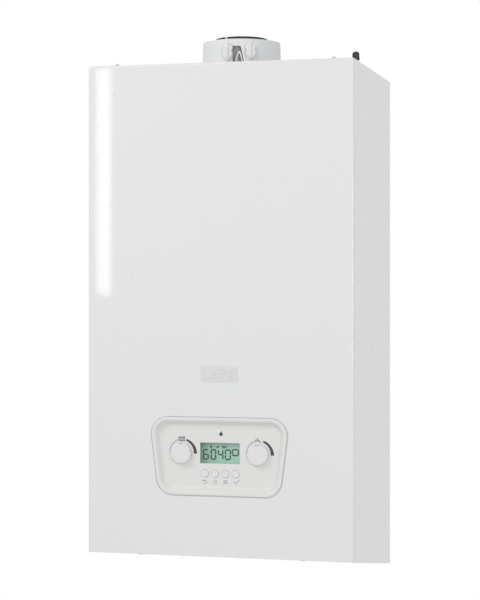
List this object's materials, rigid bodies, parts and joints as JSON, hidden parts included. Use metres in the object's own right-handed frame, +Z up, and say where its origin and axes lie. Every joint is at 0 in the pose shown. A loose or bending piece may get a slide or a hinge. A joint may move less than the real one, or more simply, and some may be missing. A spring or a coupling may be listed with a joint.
{
  "type": "combi boiler",
  "caption": "Wall-hung white gas combination boiler: folded steel case, flue turret on top, recessed control panel with knobs, display and buttons.",
  "frame": {"origin": "middle of the wall bracket's wall face: the wall plane, on the centre line, 625 mm above the case's lower front edge", "axes": "+X to the right seen from the front, +Y into the wall, +Z up; the front faces -Y"},
  "size_m": [0.392, 0.2862, 0.7951],
  "materials": {
    "case_white": "glossy stove enamel",
    "badge_silver": "brushed chrome plate",
    "bright_steel": "zinc-plated",
    "zinc_sheet": "galvanised sheet",
    "trim_white": "fine satin moulding",
    "window_clear": "clear moulded window",
    "display_green": "green segment display",
    "composite_black": "glass-filled moulding",
    "board_green": "circuit board",
    "box_grey": "grey moulding",
    "turret_white": "moulded white",
    "seal_black": "moulded rubber",
    "stainless": "stainless steel",
    "cast_aluminium": "die cast",
    "ceramic_white": "glazed ceramic",
    "copper_pipe": "copper tube",
    "brass_fitting": "turned brass",
    "vessel_red": "red paint",
    "block_composite": "glass-filled composite",
    "knob_red": "red moulding"
  },
  "bodies": {
    "boiler": {"wall_bracket": "zinc_sheet", "back_panel": "zinc_sheet", "frame_left": "zinc_sheet", "frame_right": "zinc_sheet", "top_plate": "zinc_sheet", "bottom_plate": "zinc_sheet", "cover_stud_left": "bright_steel", "cover_stud_right": "bright_steel", "control_fascia": "trim_white", "lcd_window": "window_clear", "lcd_module": "display_green", "encoder_heating": "composite_black", "encoder_hot_water": "composite_black", "display_board": "board_green", "control_box": "box_grey", "main_board": "board_green", "flue_collar": "turret_white", "flue_tube": "composite_black", "flue_seal": "seal_black", "exchanger_shell": "stainless", "exchanger_coil": "stainless", "burner_door": "cast_aluminium", "burner": "stainless", "ignition_electrode": "ceramic_white", "fan_housing": "cast_aluminium", "fan_motor": "composite_black", "gas_air_mixer": "composite_black", "air_silencer": "composite_black", "gas_valve": "cast_aluminium", "gas_injector_pipe": "bright_steel", "gas_pipe": "copper_pipe", "expansion_vessel": "vessel_red", "charge_valve": "brass_fitting", "flow_block": "block_composite", "diverter_motor": "composite_black", "return_block": "block_composite", "plate_exchanger": "stainless", "pump_body": "composite_black", "pump_motor": "cast_aluminium", "condensate_trap": "composite_black", "flow_pipe": "copper_pipe", "return_pipe": "copper_pipe"},
    "front_cover": {"front_cover": "case_white", "badge_plate": "badge_silver", "cover_screw_left": "bright_steel", "cover_screw_right": "bright_steel"},
    "knob_heating": {"knob_heating": "trim_white"},
    "knob_hot_water": {"knob_hot_water": "trim_white"},
    "button_back": {"button_back": "trim_white"},
    "button_reset": {"button_reset": "trim_white"},
    "button_menu": {"button_menu": "trim_white"},
    "button_ok": {"button_ok": "trim_white"},
    "fan_impeller": {"fan_impeller": "composite_black"},
    "pump_rotor": {"pump_rotor": "bright_steel"},
    "diverter_plunger": {"diverter_plunger": "bright_steel"},
    "relief_knob": {"relief_knob": "knob_red"},
    "test_plug_left": {"test_plug_left": "turret_white"},
    "test_plug_right": {"test_plug_right": "turret_white"},
    "valve_cap": {"valve_cap": "seal_black"}
  },
  "joints": [
    {"name": "cover_slide", "type": "slide", "parent": "boiler", "child": "front_cover", "axis": [0, -1, 0], "range_m": [0, 0.4]},
    {"name": "heating_knob_turn", "type": "hinge", "parent": "boiler", "child": "knob_heating", "pos_m": [-0.0565, -0.285, -0.4789], "axis": [0, 1, 0], "range_deg": [-90, 90]},
    {"name": "hot_water_knob_turn", "type": "hinge", "parent": "boiler", "child": "knob_hot_water", "pos_m": [0.0565, -0.285, -0.4789], "axis": [0, 1, 0], "range_deg": [-90, 90]},
    {"name": "button_back_press", "type": "slide", "parent": "boiler", "child": "button_back", "axis": [0, 1, 0], "range_m": [0, 0.0012], "stiffness_N_per_m": 250},
    {"name": "button_reset_press", "type": "slide", "parent": "boiler", "child": "button_reset", "axis": [0, 1, 0], "range_m": [0, 0.0012], "stiffness_N_per_m": 250},
    {"name": "button_menu_press", "type": "slide", "parent": "boiler", "child": "button_menu", "axis": [0, 1, 0], "range_m": [0, 0.0012], "stiffness_N_per_m": 250},
    {"name": "button_ok_press", "type": "slide", "parent": "boiler", "child": "button_ok", "axis": [0, 1, 0], "range_m": [0, 0.0012], "stiffness_N_per_m": 250},
    {"name": "fan_spin", "type": "hinge", "parent": "boiler", "child": "fan_impeller", "pos_m": [0.125, -0.259, -0.003], "axis": [0, 1, 0], "continuous": true},
    {"name": "pump_spin", "type": "hinge", "parent": "boiler", "child": "pump_rotor", "pos_m": [0.108, -0.15, -0.3673], "axis": [0, 1, 0], "continuous": true},
    {"name": "diverter_stroke", "type": "slide", "parent": "boiler", "child": "diverter_plunger", "axis": [0, 1, 0], "range_m": [0, 0.008]},
    {"name": "relief_turn", "type": "hinge", "parent": "boiler", "child": "relief_knob", "pos_m": [0.122, -0.121, -0.571], "axis": [0, -1, 0], "range_deg": [0, 90], "stiffness_Nm_per_rad": 0.02},
    {"name": "test_plug_left_pull", "type": "slide", "parent": "boiler", "child": "test_plug_left", "axis": [0, -1, 0], "range_m": [0, 0.02]},
    {"name": "test_plug_right_pull", "type": "slide", "parent": "boiler", "child": "test_plug_right", "axis": [0, -1, 0], "range_m": [0, 0.02]},
    {"name": "valve_cap_lift", "type": "slide", "parent": "boiler", "child": "valve_cap", "axis": [0, 0, 1], "range_m": [0, 0.02]}
  ]
}
